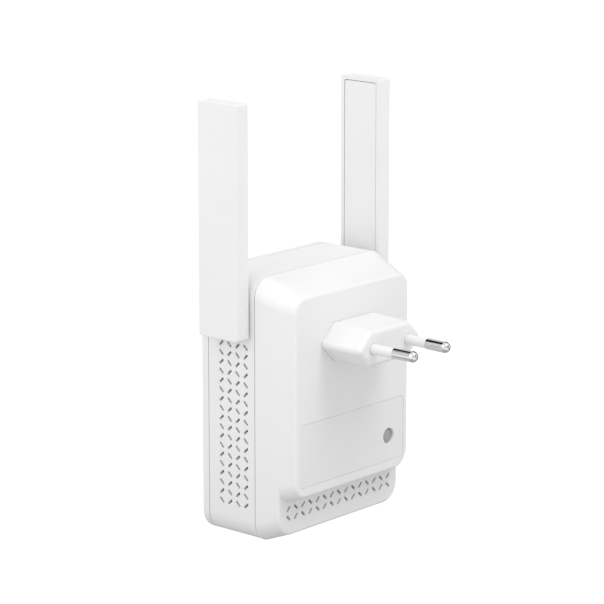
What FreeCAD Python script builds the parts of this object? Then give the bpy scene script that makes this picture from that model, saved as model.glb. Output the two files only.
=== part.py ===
import FreeCAD, Part
import math
import os

import Sketcher
from FreeCAD import Placement, Rotation, Vector
from types import SimpleNamespace

# A plug-in wifi range extender with two swinging antennas.
# The origin is the middle of the plug's contact face, between the pins. +Y runs into the
# wall socket, +Z is up, and the front of the housing faces -Y. Sizes are millimetres.
# A depth is measured forwards from the contact face, so a depth of 17 lies at Y = -17.

SIZES = {
    # housing outline, seen from the front
    "half_width": 34.15,
    "body_top": 24.0,
    "body_foot": 71.0,
    "body_corner": 7.5,
    # depths of the housing's planes
    "front_face": 58.1,
    "front_seam": 54.4,
    "rear_seam": 32.35,
    "strip_plane": 23.2,
    "plateau_plane": 17.0,
    # rear cover: the vented strip below and the plateau that carries the plug
    "strip_half": 32.3,
    "strip_top": 20.6,
    "strip_foot": 67.6,
    "step_foot": 56.2,
    "step_root": 1.5,
    "plateau_half": 30.3,
    "plateau_top": 18.1,
    "plateau_foot": 53.1,
    "plateau_corner": 6.0,
    # shell walls, rounded edges and fits
    "wall": 2.0,
    "front_wall": 1.6,
    "seam_width": 0.3,
    "seam_deep": 0.6,
    "front_round": 1.4,
    "rear_round": 1.2,
    "fit": 0.15,
    "slip": 0.05,
    "seat_play": 0.02,
    "lip_wall": 1.0,
    "lip_reach": 2.0,
    "lip_root": 4.5,
    "peg_radius": 1.2,
    "peg_across": 12.0,
    "peg_top": 18.0,
    "peg_foot": 63.0,
    # label bed on the plateau
    "label_half": 28.2,
    "label_head": 26.8,
    "label_foot": 49.6,
    "label_bed": 0.3,
    "label_thick": 0.2,
    "label_corner": 1.5,
    # vent slots
    "slot_length": 2.55,
    "slot_width": 0.9,
    "side_depth": 48.15,
    "side_low": 58.1,
    "side_step_y": 3.8,
    "side_step_z": 3.36,
    "strip_row": 58.05,
    "strip_step_x": 3.86,
    "strip_step_z": 3.4,
    # plug block and pins
    "plug_base_half": 17.5,
    "plug_base_height": 6.9,
    "plug_face_half": 17.2,
    "plug_face_height": 6.4,
    "plug_flat_half": 10.2,
    "plug_edge": 1.7,
    "plug_rim": 1.7,
    "flange_margin": 2.0,
    "flange_thick": 1.8,
    "pin_half": 9.3,
    "pin_lean": 0.55,
    "pin_length": 19.0,
    "pin_radius": 2.0,
    "pin_root": 22.8,
    "pin_core": 1.5,
    "sleeve_radius": 1.83,
    "sleeve_length": 9.4,
    "sleeve_root": 4.0,
    # antennas
    "antenna_gap": 0.65,
    "antenna_thick": 6.0,
    "antenna_width": 18.0,
    "antenna_length": 82.6,
    "antenna_low": 2.2,
    "antenna_skin": 1.2,
    "antenna_rim": 1.5,
    "antenna_ledge": 1.0,
    "antenna_edge": 0.9,
    "cover_thick": 1.2,
    "cover_sink": 0.1,
    "cover_gap": 0.25,
    "hinge_depth": 43.6,
    "hinge_height": 11.5,
    "shaft_radius": 3.0,
    "shaft_play": 0.08,
    "shaft_bore": 1.2,
    "shaft_reach": 28.4,
    "collar_radius": 5.0,
    "collar_thick": 1.2,
    "cup_wall": 1.4,
    "washer_radius": 5.0,
    "washer_thick": 0.6,
    "clip_radius": 4.2,
    "clip_thick": 0.6,
    "clip_groove": 0.5,
    "clip_mouth": 3.0,
    "element_half": 5.5,
    "element_low": 27.0,
    "element_high": 80.0,
    "element_thick": 0.8,
    "rail_height": 1.4,
    "rail_wide": 1.0,
    "rail_across": 4.0,
    "coax_radius": 0.55,
    "coax_gap": 0.3,
    "coax_bend": 1.6,
    "bore_mouth": 2.3,
    "bore_flare": 2.0,
    # boards
    "board_stand": 2.8,
    "main_thick": 1.2,
    "main_half": 29.0,
    "main_top": 20.0,
    "main_foot": 60.0,
    "boss_radius": 2.6,
    "main_boss_across": 25.0,
    "main_boss_top": 17.0,
    "main_boss_foot": 56.0,
    "post_radius": 2.4,
    "post_length": 17.8,
    "post_across": 24.0,
    "post_top": 12.5,
    "post_foot": 28.5,
    "power_thick": 1.6,
    "power_half": 27.0,
    "power_top": 16.5,
    "power_foot": 32.0,
    "sheet_thick": 0.4,
    "screw_radius": 1.0,
    "screw_head": 1.9,
    "screw_head_thick": 1.4,
    "screw_bite": 3.2,
    # reset button and its switch
    "button_across": 20.0,
    "button_down": 40.4,
    "button_hole": 2.8,
    "button_sink": 0.5,
    "button_flange": 0.95,
    "button_flange_thick": 1.0,
    "button_stem": 1.2,
    "guide_length": 7.0,
    "guide_wall": 1.0,
    "switch_half": 3.0,
    "switch_height": 3.5,
    "plunger_radius": 1.6,
    "plunger_stand": 0.6,
    "plunger_sunk": 1.7,
    "plunger_room": 0.6,
    # front light
    "light_radius": 1.5,
    "light_height": 11.0,
    "light_flange": 1.0,
    "light_flange_thick": 0.8,
    "light_gap": 0.3,
}

SIDE_ROWS = 18
SIDE_COLUMNS = 4
STRIP_ROWS = 2
STRIP_COLUMNS = 15

doc = FreeCAD.newDocument("range_extender")
sheet = doc.addObject("Spreadsheet::Sheet", "sizes")
for row, (word, number) in enumerate(SIZES.items(), start=1):
    sheet.set(f"A{row}", word)
    sheet.set(f"B{row}", str(number))
    sheet.setAlias(f"B{row}", word)
doc.recompute()


class Size:
    """A length that carries both its number and the expression that gives it in the sheet."""

    def __init__(self, number, text):
        self.number = number
        self.text = text

    def __add__(self, other):
        other = size(other)
        return Size(self.number + other.number, f"({self.text} + {other.text})")

    __radd__ = __add__

    def __sub__(self, other):
        other = size(other)
        return Size(self.number - other.number, f"({self.text} - {other.text})")

    def __mul__(self, factor):
        factor = size(factor)
        return Size(self.number * factor.number, f"({self.text} * {factor.text})")

    def __truediv__(self, factor):
        factor = size(factor)
        return Size(self.number / factor.number, f"({self.text} / {factor.text})")

    def __neg__(self):
        return Size(-self.number, f"(0 - {self.text})")


def size(value):
    """The value as a Size, so that plain numbers and named sizes mix."""
    if isinstance(value, Size):
        return value
    return Size(float(value), f"({float(value)})")


def slope_angle(rise, run):
    """The angle in degrees of a lean of rise over run."""
    ratio = size(rise) / size(run)
    return Size(math.degrees(math.atan(ratio.number)), f"atan({ratio.text})")


d = SimpleNamespace(**{word: Size(number, f"sizes.{word}") for word, number in SIZES.items()})
ZERO = size(0)

nodes = []


def keep(piece):
    """Marks a finished piece as one node of the assembly."""
    nodes.append(piece)
    return piece


def bind(thing, field, value):
    thing.setExpression(field, size(value).text)


def move(thing, x=0, y=0, z=0):
    """Ties the corner or centre of a piece to its place."""
    for axis, value in zip("xyz", (x, y, z)):
        bind(thing, f"Placement.Base.{axis}", value)


def in_order(span):
    return sorted((size(span[0]), size(span[1])), key=lambda end: end.number)


def box(label, x, y, z):
    """A block between the given pairs of faces."""
    block = doc.addObject("Part::Box", label)
    low, high = zip(in_order(x), in_order(y), in_order(z))
    for field, start, end in zip(("Length", "Width", "Height"), low, high):
        bind(block, field, end - start)
    move(block, *low)
    return block


TURN = {
    "+x": Rotation(Vector(0, 0, 1), -90),
    "-x": Rotation(Vector(0, 0, 1), 90),
    "+y": Rotation(),
    "-y": Rotation(Vector(0, 0, 1), 180),
}


def rod(label, radius, start, towards, length):
    """A plain cylinder that starts at a point and runs along an axis."""
    stick = doc.addObject("Part::Cylinder", label)
    bind(stick, "Radius", radius)
    bind(stick, "Height", length)
    stick.Placement = Placement(Vector(), TURN[towards] * Rotation(Vector(1, 0, 0), -90))
    move(stick, *start)
    return stick


def fuse(label, *pieces):
    joined = doc.addObject("Part::MultiFuse", label)
    joined.Shapes = list(pieces)
    return joined


def cut(label, base, *tools):
    """The base less every tool."""
    result = doc.addObject("Part::Cut", label)
    result.Base = base
    result.Tool = tools[0] if len(tools) == 1 else fuse(f"{label}_tools", *tools)
    return result


def group(label, *pieces):
    """Like pieces that share one node, each still its own solid."""
    gathered = doc.addObject("Part::Compound", label)
    gathered.Links = list(pieces)
    return gathered


def origin_plane(body, role):
    return next(plane for plane in body.Origin.OriginFeatures if plane.Role == role)


def sketch_at(body, name, role, offset):
    """A sketch on one of the body's own origin planes, moved out by the offset."""
    sketch = body.newObject("Sketcher::SketchObject", name)
    sketch.AttachmentSupport = [(origin_plane(body, role), "")]
    sketch.MapMode = "FlatFace"
    bind(sketch, "AttachmentOffset.Base.z", offset)
    return sketch


def hold(sketch, kind, points, name, value):
    """A named distance between two points of a sketch, tied to the sheet."""
    index = sketch.addConstraint(Sketcher.Constraint(kind, *points, size(value).number))
    sketch.renameConstraint(index, name)
    bind(sketch, f"Constraints.{name}", value)


def outline(body, name, role, offset, across, up, radius):
    """A rounded rectangle between a pair of across values and a pair of up values."""
    (left, right), (foot, top) = in_order(across), in_order(up)
    round_ = size(radius)
    x0, x1, y0, y1, r = (value.number for value in (left, right, foot, top, round_))
    sketch = sketch_at(body, name, role, offset)
    ends = (
        ((x0 + r, y0), (x1 - r, y0)),
        ((x1, y0 + r), (x1, y1 - r)),
        ((x1 - r, y1), (x0 + r, y1)),
        ((x0, y1 - r), (x0, y0 + r)),
    )
    centres = ((x1 - r, y0 + r), (x1 - r, y1 - r), (x0 + r, y1 - r), (x0 + r, y0 + r))
    for corner, ((start, end), centre) in enumerate(zip(ends, centres)):
        sketch.addGeometry(Part.LineSegment(Vector(*start, 0), Vector(*end, 0)), False)
        from_angle = math.radians(90 * corner - 90)
        circle = Part.Circle(Vector(*centre, 0), Vector(0, 0, 1), r)
        arc = Part.ArcOfCircle(circle, from_angle, from_angle + math.pi / 2)
        sketch.addGeometry(arc, False)
    for edge in range(8):
        following = (edge + 1) % 8
        sketch.addConstraint(Sketcher.Constraint("Tangent", edge, 2, following, 1))
    for edge, kind in ((0, "Horizontal"), (2, "Vertical"), (4, "Horizontal"), (6, "Vertical")):
        sketch.addConstraint(Sketcher.Constraint(kind, edge))
    for arc_edge in (3, 5, 7):
        sketch.addConstraint(Sketcher.Constraint("Equal", 1, arc_edge))
    hold(sketch, "Radius", (1,), "corner", round_)
    hold(sketch, "DistanceX", (-1, 1, 2, 1), "right", right)
    hold(sketch, "DistanceX", (-1, 1, 6, 1), "left", left)
    hold(sketch, "DistanceY", (-1, 1, 0, 1), "foot", foot)
    hold(sketch, "DistanceY", (-1, 1, 4, 1), "top", top)
    return sketch


def polygon(body, name, role, offset, corners):
    """A closed figure of straight edges, each corner tied to the sheet."""
    sketch = sketch_at(body, name, role, offset)
    spots = [Vector(size(x).number, size(y).number, 0) for x, y in corners]
    for index, spot in enumerate(spots):
        following = spots[(index + 1) % len(spots)]
        sketch.addGeometry(Part.LineSegment(spot, following), False)
    for index in range(len(spots)):
        following = (index + 1) % len(spots)
        sketch.addConstraint(Sketcher.Constraint("Coincident", index, 2, following, 1))
    for index, (x, y) in enumerate(corners):
        hold(sketch, "DistanceX", (-1, 1, index, 1), f"x{index}", x)
        hold(sketch, "DistanceY", (-1, 1, index, 1), f"y{index}", y)
    return sketch


def hexagon(half, flat_half, height):
    """The corners of the plug block's outline."""
    return (
        (half, 0),
        (flat_half, height),
        (-flat_half, height),
        (-half, 0),
        (-flat_half, -height),
        (flat_half, -height),
    )


def feature(body, kind, name, sketch, **fields):
    """A PartDesign feature made from one sketch."""
    made = body.newObject(f"PartDesign::{kind}", name)
    made.Profile = sketch
    for field, value in fields.items():
        if isinstance(value, Size):
            bind(made, field, value)
        else:
            setattr(made, field, value)
    body.Tip = made
    doc.recompute()
    return made


def new_body(label):
    return doc.addObject("PartDesign::Body", label)


def edge_names(shape, wanted):
    """The names of the edges that a test picks."""
    return [f"Edge{number}" for number, edge in enumerate(shape.Edges, 1) if wanted(edge)]


def round_edges(body, name, radius, wanted):
    """A fillet on every edge that the test picks."""
    base = body.Tip
    made = body.newObject("PartDesign::Fillet", name)
    made.Base = (base, edge_names(base.Shape, wanted))
    bind(made, "Radius", radius)
    body.Tip = made
    doc.recompute()
    return made


def at_level(edge, axis, level, slack=0.01):
    """Whether all of an edge lies in one plane across an axis."""
    limits = edge.BoundBox
    low, high = getattr(limits, f"{axis}Min"), getattr(limits, f"{axis}Max")
    return abs(low - level.number) < slack and abs(high - level.number) < slack


def turned(label, profile, start, towards, dome=False, lean=None):
    """A round piece from its half section: (radius, distance along the axis) corners.
    With a dome, the last corner runs on as a quarter circle to the axis."""
    body = new_body(label)
    sketch = sketch_at(body, f"{label}_section", "XY_Plane", 0)
    spots = [Vector(size(r).number, size(a).number, 0) for r, a in profile]
    for first, second in zip(spots, spots[1:]):
        sketch.addGeometry(Part.LineSegment(first, second), False)
    last = len(spots) - 1
    if dome:
        radius, along = spots[-1].x, spots[-1].y
        circle = Part.Circle(Vector(0, along, 0), Vector(0, 0, 1), radius)
        sketch.addGeometry(Part.ArcOfCircle(circle, 0, math.pi / 2), False)
        tip = Vector(0, along + radius, 0)
        sketch.addGeometry(Part.LineSegment(tip, spots[0]), False)
        sketch.addConstraint(Sketcher.Constraint("Coincident", last, 2, last + 1, 1))
        sketch.addConstraint(Sketcher.Constraint("Coincident", last + 1, 2, 0, 1))
        sketch.addConstraint(Sketcher.Constraint("PointOnObject", last, 3, -2))
        sketch.addConstraint(Sketcher.Constraint("PointOnObject", last, 2, -2))
        sketch.addConstraint(Sketcher.Constraint("Tangent", last - 1, 2, last, 1))
    else:
        sketch.addGeometry(Part.LineSegment(spots[-1], spots[0]), False)
        sketch.addConstraint(Sketcher.Constraint("Coincident", last - 1, 2, last, 1))
        sketch.addConstraint(Sketcher.Constraint("Coincident", last, 2, 0, 1))
    for index in range(1, last):
        sketch.addConstraint(Sketcher.Constraint("Coincident", index - 1, 2, index, 1))
    for index, (radius, along) in enumerate(profile):
        corner = (index, 1) if index < last else (last - 1, 2)
        hold(sketch, "DistanceX", (-1, 1, *corner), f"r{index}", radius)
        hold(sketch, "DistanceY", (-1, 1, *corner), f"a{index}", along)
    feature(body, "Revolution", f"{label}_turned", sketch,
            ReferenceAxis=(sketch, ["V_Axis"]), Angle=360.0)
    body.Placement = Placement(Vector(), TURN[towards])
    if lean is not None:
        bind(body, "Placement.Rotation.Angle", lean)
    move(body, *start)
    return body


def disc_profile(*steps):
    """A solid stepped rod: pairs of radius and the length of that step."""
    corners, along = [(ZERO, ZERO)], ZERO
    for radius, length in steps:
        corners.append((radius, along))
        along = along + length
        corners.append((radius, along))
    return corners + [(ZERO, along)]


def routed(label, radius, stops, tightest=None):
    """A round cable along straight runs that are joined by tangent arcs, each as large as
    its runs allow, or of a radius that the space round the corner sets."""
    spots = [Vector(*(size(value).number for value in stop)) for stop in stops]
    edges, here = [], spots[0]
    for before, corner, after in zip(spots, spots[1:], spots[2:]):
        arriving = corner - before
        leaving = after - corner
        half_turn = arriving.getAngle(leaving) / 2
        shorter = min(arriving.Length, leaving.Length)
        reach = 0.45 * shorter
        if tightest is not None:
            reach = min(reach, tightest.number * math.tan(half_turn))
        arc_radius = reach / math.tan(half_turn)
        arriving.normalize()
        leaving.normalize()
        entry = corner - arriving * reach
        leave = corner + leaving * reach
        inward = (leaving - arriving).normalize()
        middle = corner + inward * (arc_radius / math.cos(half_turn) - arc_radius)
        edges.append(Part.LineSegment(here, entry).toShape())
        edges.append(Part.Arc(entry, middle, leave).toShape())
        print(f"{label}: bend radius {arc_radius:.2f}")
        here = leave
    edges.append(Part.LineSegment(here, spots[-1]).toShape())
    path = Part.Wire(edges)
    start = (spots[1] - spots[0]).normalize()
    section = Part.Wire(Part.makeCircle(size(radius).number, spots[0], start))
    cable = doc.addObject("Part::Feature", label)
    cable.Shape = path.makePipeShell([section], True, True)
    expected = math.pi * size(radius).number ** 2 * path.Length
    print(f"{label}: volume {cable.Shape.Volume:.2f}, expected {expected:.2f}")
    return cable


# --- vent slots --------------------------------------------------------------------------


def slot_field(label, spots, across, through, depth):
    """Slanted round-ended slots. across is the direction that a slot leans along, with +Z,
    through is the way it is cut, and each spot is (centre, lean of +1 or -1)."""
    half = (d.slot_length - d.slot_width).number / 2
    radius = d.slot_width.number / 2
    cutters = []
    for centre, lean in spots:
        along = (across * lean + Vector(0, 0, 1)).normalize()
        side = along.cross(through).normalize()
        first, second = centre - along * half, centre + along * half
        corners = (first + side * radius, second + side * radius,
                   second - side * radius, first - side * radius)
        edges = (
            Part.LineSegment(corners[0], corners[1]).toShape(),
            Part.Arc(corners[1], second + along * radius, corners[2]).toShape(),
            Part.LineSegment(corners[2], corners[3]).toShape(),
            Part.Arc(corners[3], first - along * radius, corners[0]).toShape(),
        )
        cutters.append(Part.Face(Part.Wire(edges)).extrude(through * depth))
    field = doc.addObject("Part::Feature", label)
    field.Shape = Part.makeCompound(cutters)
    return field


def side_vents(side):
    """The checkerboard of slanted slots in one side wall."""
    outside = (d.half_width.number + 1) * side
    depth = d.wall.number + 2
    spots = []
    for row in range(SIDE_ROWS):
        height = -d.side_low.number + row * d.side_step_z.number
        for column in range(SIDE_COLUMNS):
            across = -d.side_depth.number + column * d.side_step_y.number
            lean = -1 if (row + column) % 2 == 0 else 1
            spots.append((Vector(outside, across, height), lean))
    name = "right" if side > 0 else "left"
    return slot_field(f"side_vents_{name}", spots, Vector(0, 1, 0), Vector(-side, 0, 0), depth)


def strip_vents():
    """Two rows of slanted slots in the strip below the plateau."""
    outside = -d.strip_plane.number + 1
    middle = (STRIP_COLUMNS - 1) / 2
    spots = []
    for row in range(STRIP_ROWS):
        height = -d.strip_row.number - row * d.strip_step_z.number
        for column in range(STRIP_COLUMNS):
            across = (column - middle) * d.strip_step_x.number
            lean = -1 if (row + column) % 2 == 0 else 1
            spots.append((Vector(across, outside, height), lean))
    depth = d.wall.number + 2
    return slot_field("strip_vents", spots, Vector(1, 0, 0), Vector(0, -1, 0), depth)


# --- places that several pieces share -----------------------------------------------------

tray_floor = d.front_seam - d.front_wall
main_front = tray_floor - d.board_stand
main_rear = main_front - d.main_thick
plateau_inside = d.plateau_plane + d.wall
strip_inside = d.strip_plane + d.wall
power_rear = plateau_inside + d.post_length
power_front = power_rear + d.power_thick
sheet_front = power_front + d.sheet_thick
side_inside = d.half_width - d.wall

antenna_inner = d.half_width + d.antenna_gap
antenna_outer = antenna_inner + d.antenna_thick
antenna_floor = antenna_outer - d.antenna_skin
cover_seat = antenna_inner + d.cover_sink + d.cover_thick
antenna_front = d.hinge_depth + d.antenna_width / 2
antenna_rear = d.hinge_depth - d.antenna_width / 2
antenna_high = d.antenna_low + d.antenna_length
collar_end = cover_seat + d.collar_thick
washer_back = side_inside - d.seat_play
washer_face = washer_back - d.washer_thick
clip_end = washer_face - d.fit
clip_start = clip_end - d.clip_thick

main_boss_spots = [(d.main_boss_across * side, height)
                   for side in (1, -1) for height in (d.main_boss_top, -d.main_boss_foot)]
post_spots = [(d.post_across * side, height)
              for side in (1, -1) for height in (d.post_top, -d.post_foot)]
peg_spots = [(d.peg_across * side, height)
             for side in (1, -1) for height in (d.peg_top, -d.peg_foot)]
button_spot = (-d.button_across, -d.button_down)
pilot_radius = d.screw_radius + d.slip
board_hole = d.screw_radius + d.fit
SIDES = {"right": 1, "left": -1}


def rods_at(label, spots, radius, depth, towards, length):
    """Equal rods that start at one depth, at each of the given spots."""
    return [rod(f"{label}_{number}", radius, (x, -depth, z), towards, length)
            for number, (x, z) in enumerate(spots, 1)]


def body_outline(body, name, depth, inset):
    """The housing's outline, set in by an amount, at a depth."""
    half = d.half_width - inset
    return outline(body, name, "XZ_Plane", depth, (-half, half),
                   (-(d.body_foot - inset), d.body_top - inset), d.body_corner - inset)


# --- housing ------------------------------------------------------------------------------


def make_front_cover():
    """The flat lid over the front, with four pegs and a hole for the light."""
    body = new_body("front_cover_plate")
    face = body_outline(body, "front_cover_outline", d.front_seam, ZERO)
    feature(body, "Pad", "front_cover_pad", face, Length=d.front_face - d.front_seam)
    round_edges(body, "front_cover_round", d.front_round,
                lambda edge: at_level(edge, "Y", -d.front_face))
    pegs = rods_at("front_peg", peg_spots, d.peg_radius, d.front_seam, "+y", d.front_wall)
    lid = fuse("front_cover_lid", body, *pegs)
    window = rod("front_window", d.light_radius + d.slip, (0, -d.front_face - 1, d.light_height),
                 "+y", d.front_face - d.front_seam + 2)
    keep(cut("front_cover", lid, window))


def make_mid_housing():
    """The tray between the seams: it holds the main board and both hinges."""
    body = new_body("mid_housing_tray")
    deep = d.front_seam - d.rear_seam
    core = body_outline(body, "tray_core_outline", d.rear_seam, d.seam_deep)
    feature(body, "Pad", "tray_core", core, Length=deep)
    skin = body_outline(body, "tray_skin_outline", d.rear_seam + d.seam_width, ZERO)
    feature(body, "Pad", "tray_skin", skin, Length=deep - d.seam_width * 2)
    before = body.Tip.Shape.Volume
    hollow = body_outline(body, "tray_hollow_outline", d.rear_seam, d.wall)
    feature(body, "Pocket", "tray_hollow", hollow, Length=deep - d.front_wall, Reversed=True)
    if body.Tip.Shape.Volume > before * 0.5:
        raise RuntimeError("the tray was not hollowed")
    bosses = rods_at("board_boss", main_boss_spots, d.boss_radius, tray_floor, "+y",
                     d.board_stand)
    solid = fuse("mid_housing_solid", body, *bosses)
    tools = rods_at("board_pilot", main_boss_spots, pilot_radius, main_front, "-y",
                    d.board_stand + d.front_wall / 2)
    tools += rods_at("peg_hole", peg_spots, d.peg_radius + d.slip, d.front_seam + 1, "+y",
                     d.front_wall + 2)
    tools.append(rod("light_hole", d.light_radius + d.slip,
                     (0, -d.front_seam - 1, d.light_height), "+y", d.front_wall + 2))
    tools.append(rod("hinge_holes", d.shaft_radius + d.shaft_play,
                     (-d.half_width - 1, -d.hinge_depth, d.hinge_height), "+x",
                     d.half_width * 2 + 2))
    drilled = cut("mid_housing_drilled", solid, *tools)
    vents = group("side_vents", *(side_vents(side) for side in SIDES.values()))
    keep(cut("mid_housing", drilled, vents))


def tapered_block(label, root, root_depth, face, face_depth, edges, rim):
    """A block with flat tapering sides between two outlines. Its long edges are rounded from
    one radius at the root to another at the face, and its rim is rounded over."""
    rings = []
    for corners, depth in ((root, root_depth), (face, face_depth)):
        rings.append([Vector(size(x).number, -size(depth).number, size(z).number)
                      for x, z in corners])
    near, far = rings
    sides = [Part.Face(Part.makePolygon(ring + ring[:1])) for ring in rings]
    for index, (a, b) in enumerate(zip(near, far)):
        after = (index + 1) % len(near)
        sides.append(Part.Face(Part.makePolygon([a, near[after], far[after], b, a])))
    shell = Part.makeShell(sides)
    shell.sewShape()
    solid = Part.makeSolid(shell)

    def level(edge, depth):
        return at_level(edge, "Y", -size(depth))

    long_edges = [edge for edge in solid.Edges
                  if not level(edge, root_depth) and not level(edge, face_depth)]
    root_radius, face_radius = (size(radius).number for radius in edges)
    solid = solid.makeFillet(root_radius, face_radius, long_edges)
    if rim is not None:
        solid = solid.makeFillet(rim.number,
                                 [edge for edge in solid.Edges if level(edge, face_depth)])
    block = doc.addObject("Part::Feature", label)
    block.Shape = solid
    return block


def rear_section(where, inset):
    """The corners of one of the rear cover's sections, set in by a wall for the hollow. The
    plateau's root lies on the skirt's own slope, a little way down from the strip."""
    part_way = d.step_root / (d.rear_seam - d.strip_plane)
    half, foot, top = {
        "seam": (d.half_width, d.body_foot, d.body_top),
        "strip": (d.strip_half, d.strip_foot, d.strip_top),
        "root": (d.strip_half + (d.half_width - d.strip_half) * part_way, d.step_foot,
                 d.strip_top + (d.body_top - d.strip_top) * part_way),
        "plateau": (d.plateau_half, d.plateau_foot, d.plateau_top),
    }[where]
    half, foot, top = half - inset, foot - inset, top - inset
    return ((-half, -foot), (half, -foot), (half, top), (-half, top))


def make_rear_cover():
    """The tapered back shell, stepped down to the vented strip at its foot."""
    body_edges = (d.body_corner, d.body_corner)
    plateau_edges = (d.body_corner, d.plateau_corner)
    skirt = tapered_block("rear_skirt", rear_section("seam", ZERO), d.rear_seam,
                          rear_section("strip", ZERO), d.strip_plane, body_edges, d.rear_round)
    plateau = tapered_block("rear_plateau", rear_section("root", ZERO),
                            d.strip_plane + d.step_root, rear_section("plateau", ZERO),
                            d.plateau_plane, plateau_edges, d.rear_round)
    inner_edges = tuple(radius - d.wall for radius in body_edges)
    cave = tapered_block("rear_cave", rear_section("seam", d.wall), d.rear_seam,
                         rear_section("strip", d.wall), strip_inside, inner_edges, None)
    room_edges = tuple(radius - d.wall for radius in plateau_edges)
    room = tapered_block("rear_room", rear_section("root", d.wall + d.fit * 2),
                         strip_inside + d.wall / 2, rear_section("plateau", d.wall),
                         plateau_inside, room_edges, None)
    hull = fuse("rear_hull", skirt, plateau)
    shell = cut("rear_cover_shell", hull, cave, room)

    lip = new_body("rear_lip")
    inset = d.wall + d.fit
    ring = body_outline(lip, "lip_outline", d.rear_seam - d.lip_root, inset)
    length = d.lip_root + d.lip_reach
    feature(lip, "Pad", "lip_pad", ring, Length=length)
    hole = body_outline(lip, "lip_hole_outline", d.rear_seam - d.lip_root - 1,
                        inset + d.lip_wall)
    feature(lip, "Pocket", "lip_hole", hole, Length=length + 2, Reversed=True)

    posts = rods_at("board_post", post_spots, d.post_radius, plateau_inside - d.wall / 2, "-y",
                    d.post_length + d.wall / 2)
    bore = d.button_hole + d.button_flange + d.fit
    guide = rod("button_guide", bore + d.guide_wall,
                (button_spot[0], -plateau_inside + d.wall / 2, button_spot[1]), "-y",
                d.guide_length + d.wall / 2)
    solid = fuse("rear_cover_solid", shell, lip, guide, *posts)

    pilots = rods_at("post_pilot", post_spots, pilot_radius, power_rear, "+y",
                     d.screw_bite + 1)
    button_hole = rod("button_hole", d.button_hole,
                      (button_spot[0], -d.plateau_plane + 1, button_spot[1]), "-y",
                      d.wall + 2)
    guide_bore = rod("guide_bore", bore, (button_spot[0], -plateau_inside, button_spot[1]),
                     "-y", d.guide_length + 1)
    above = size(1)
    bed = label_plate("label_bed", ZERO, d.plateau_plane - above, d.label_bed + above)
    seat = new_body("plug_seat")
    opening = hexagon(d.plug_base_half + d.slip, d.plug_flat_half + d.slip,
                      d.plug_base_height + d.slip)
    shape = polygon(seat, "plug_seat_outline", "XZ_Plane", d.plateau_plane - above, opening)
    feature(seat, "Pad", "plug_seat_pad", shape, Length=d.wall + above * 2)
    round_edges(seat, "plug_seat_edges", d.plug_edge - d.slip,
                lambda edge: edge.BoundBox.YLength > d.wall.number / 2)
    drilled = cut("rear_cover_drilled", solid, button_hole, guide_bore, bed, seat, *pilots)
    keep(cut("rear_cover", drilled, strip_vents()))


def label_plate(label, inset, start, thick):
    """The label's outline, set in all round, as a plate from one depth forwards."""
    body = new_body(label)
    half = d.label_half - inset
    face = outline(body, f"{label}_outline", "XZ_Plane", start, (-half, half),
                   (-d.label_foot + inset, -d.label_head - inset), d.label_corner)
    feature(body, "Pad", f"{label}_pad", face, Length=thick)
    return body


def make_label():
    """A blank label in its bed, cut out round the button."""
    plate = label_plate("label_blank", d.slip * 2, d.plateau_plane + d.label_bed - d.label_thick,
                        d.label_thick)
    window = rod("label_window", d.button_hole + d.fit,
                 (button_spot[0], -d.plateau_plane + 1, button_spot[1]), "-y", 2)
    keep(cut("rating_label", plate, window))


def make_light_pipe():
    """A clear stub that carries the light from the board to the front."""
    back = main_front + d.light_gap + LED_HEIGHT
    stub = turned("light_pipe", disc_profile(
        (d.light_radius, d.front_face - tray_floor),
        (d.light_radius + d.light_flange, d.light_flange_thick),
        (d.light_radius, tray_floor - d.light_flange_thick - back),
    ), (0, -d.front_face, d.light_height), "+y")
    keep(stub)


# --- plug ---------------------------------------------------------------------------------

LED_HEIGHT = 0.7
lean_angle = slope_angle(d.pin_lean, d.pin_length)


def pin_lean(side):
    return lean_angle * side


def leaning_rod(label, radius, side, start, length):
    """A plain rod on a pin's own axis, from a distance behind the contact face."""
    profile = [(ZERO, -start), (radius, -start), (radius, length - start),
               (ZERO, length - start)]
    return turned(label, profile, (d.pin_half * side, 0, 0), "+y", lean=pin_lean(side))


def make_plug():
    """The hexagonal plug block, its two pins, their sleeves and the contact springs."""
    shrink = d.plug_face_height / d.plug_base_height
    face_flat = d.plug_face_half - (d.plug_base_half - d.plug_flat_half) * shrink
    root = hexagon(d.plug_base_half, d.plug_flat_half, d.plug_base_height)
    face = hexagon(d.plug_face_half, face_flat, d.plug_face_height)
    block = tapered_block("plug_block", root, d.plateau_plane, face, ZERO,
                          (d.plug_edge, d.plug_edge), d.plug_rim)
    neck = new_body("plug_neck")
    neck_face = polygon(neck, "plug_neck_outline", "XZ_Plane", d.plateau_plane,
                        hexagon(d.plug_base_half - d.fit, d.plug_flat_half - d.fit,
                                d.plug_base_height - d.fit))
    feature(neck, "Pad", "plug_neck_pad", neck_face, Length=d.wall)
    round_edges(neck, "plug_neck_edges", d.plug_edge,
                lambda edge: edge.BoundBox.YLength > d.wall.number / 2)
    flange = new_body("plug_flange")
    flange_face = polygon(flange, "plug_flange_outline", "XZ_Plane", plateau_inside,
                          hexagon(d.plug_base_half + d.flange_margin,
                                  d.plug_flat_half + d.flange_margin,
                                  d.plug_base_height + d.flange_margin))
    feature(flange, "Pad", "plug_flange_pad", flange_face, Length=d.flange_thick)
    solid = fuse("plug_solid", block, neck, flange)
    past = size(2)
    bores = []
    for name, side in SIDES.items():
        bores.append(leaning_rod(f"pin_bore_{name}", d.pin_radius + d.slip, side,
                                 d.pin_root + past, d.pin_root + past - d.sleeve_root))
        bores.append(leaning_rod(f"sleeve_bore_{name}", d.sleeve_radius + d.slip * 2, side,
                                 d.sleeve_root + past, d.sleeve_root + past * 2))
    keep(cut("plug_body", solid, *bores))
    for name, side in SIDES.items():
        make_pin(name, side)


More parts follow.
